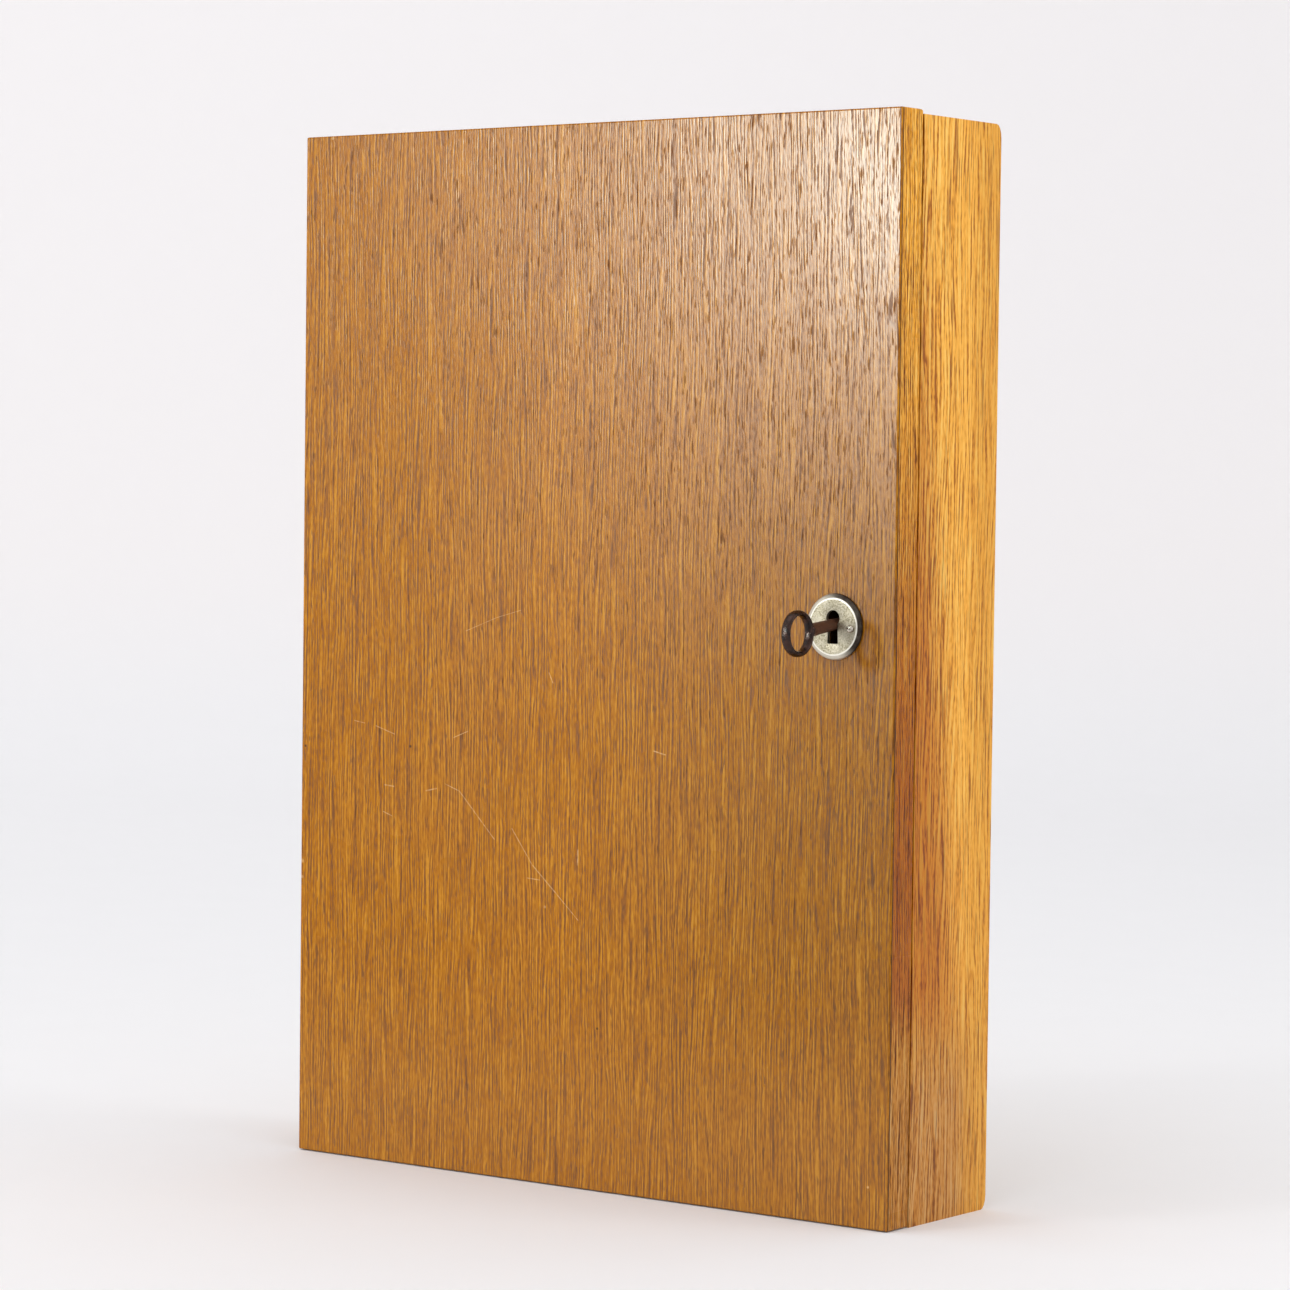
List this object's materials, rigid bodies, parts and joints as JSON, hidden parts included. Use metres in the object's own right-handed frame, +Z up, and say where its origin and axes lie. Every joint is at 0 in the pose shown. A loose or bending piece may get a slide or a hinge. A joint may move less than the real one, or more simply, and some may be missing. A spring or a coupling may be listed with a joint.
{
  "type": "key cabinet",
  "caption": "Shallow wooden wall cabinet for keys: overlaid lockable oak door on butt hinges, round keyhole plate with its key, and rails of brass hooks inside.",
  "frame": {"origin": "centre of the carcass underside, without the door", "axes": "+X to the right as seen from the front, +Y to the rear so the door faces -Y, +Z up"},
  "size_m": [0.3551, 0.1223, 0.5005],
  "materials": {
    "oak_veneer": "satin lacquer",
    "oak_solid": "satin lacquer",
    "plywood": "bare, sanded",
    "beech": "thin lacquer",
    "brass": "polished, slightly tarnished",
    "nickel": "worn nickel plate over brass",
    "lock_steel": "zinc-plated, dull",
    "browned_steel": "browned, worn bright in places"
  },
  "bodies": {
    "carcass": {"side_left": "oak_solid", "side_right": "oak_solid", "top_panel": "oak_solid", "bottom_panel": "oak_solid", "back_panel": "plywood", "hook_rail_1": "beech", "hook_rail_2": "beech", "hook_rail_3": "beech", "hook_rail_4": "beech", "hook_1_1": "brass", "hook_1_2": "brass", "hook_1_3": "brass", "hook_1_4": "brass", "hook_1_5": "brass", "hook_2_1": "brass", "hook_2_2": "brass", "hook_2_3": "brass", "hook_2_4": "brass", "hook_2_5": "brass", "hook_3_1": "brass", "hook_3_2": "brass", "hook_3_3": "brass", "hook_3_4": "brass", "hook_3_5": "brass", "hook_4_1": "brass", "hook_4_2": "brass", "hook_4_3": "brass", "hook_4_4": "brass", "hook_4_5": "brass", "hinge_lower_frame_leaf": "brass", "hinge_lower_frame_leaf_screw_low": "brass", "hinge_lower_frame_leaf_screw_high": "brass", "hinge_lower_pin": "brass", "hinge_upper_frame_leaf": "brass", "hinge_upper_frame_leaf_screw_low": "brass", "hinge_upper_frame_leaf_screw_high": "brass", "hinge_upper_pin": "brass", "strike_plate": "lock_steel", "strike_screw_low": "lock_steel", "strike_screw_high": "lock_steel"},
    "door": {"door": "oak_veneer", "hinge_lower_door_leaf": "brass", "hinge_lower_door_leaf_screw_low": "brass", "hinge_lower_door_leaf_screw_high": "brass", "hinge_upper_door_leaf": "brass", "hinge_upper_door_leaf_screw_low": "brass", "hinge_upper_door_leaf_screw_high": "brass", "escutcheon": "nickel", "escutcheon_pin_left": "nickel", "escutcheon_pin_right": "nickel", "lock_plate": "lock_steel", "lock_case": "lock_steel", "lock_screw_low_left": "lock_steel", "lock_screw_low_right": "lock_steel", "lock_screw_high_left": "lock_steel", "lock_screw_high_right": "lock_steel"},
    "key": {"key": "browned_steel"},
    "bolt": {"lock_bolt": "lock_steel", "bolt_spring": "lock_steel"}
  },
  "joints": [
    {"name": "door_hinge", "type": "hinge", "parent": "carcass", "child": "door", "pos_m": [-0.1777, -0.03255, 0.25], "axis": [0, 0, -1], "range_deg": [0, 175]},
    {"name": "key_turn", "type": "hinge", "parent": "door", "child": "key", "pos_m": [0.143, -0.02943, 0.2736], "axis": [0, 0.9922, 0.1248], "range_deg": [0, 360]},
    {"name": "bolt_slide", "type": "slide", "parent": "door", "child": "bolt", "axis": [1, 0, 0], "range_m": [0, 0.008]}
  ],
  "couplings": [
    {"joint": "bolt_slide", "follows": "key_turn", "m_per_rad": 0.001273}
  ]
}
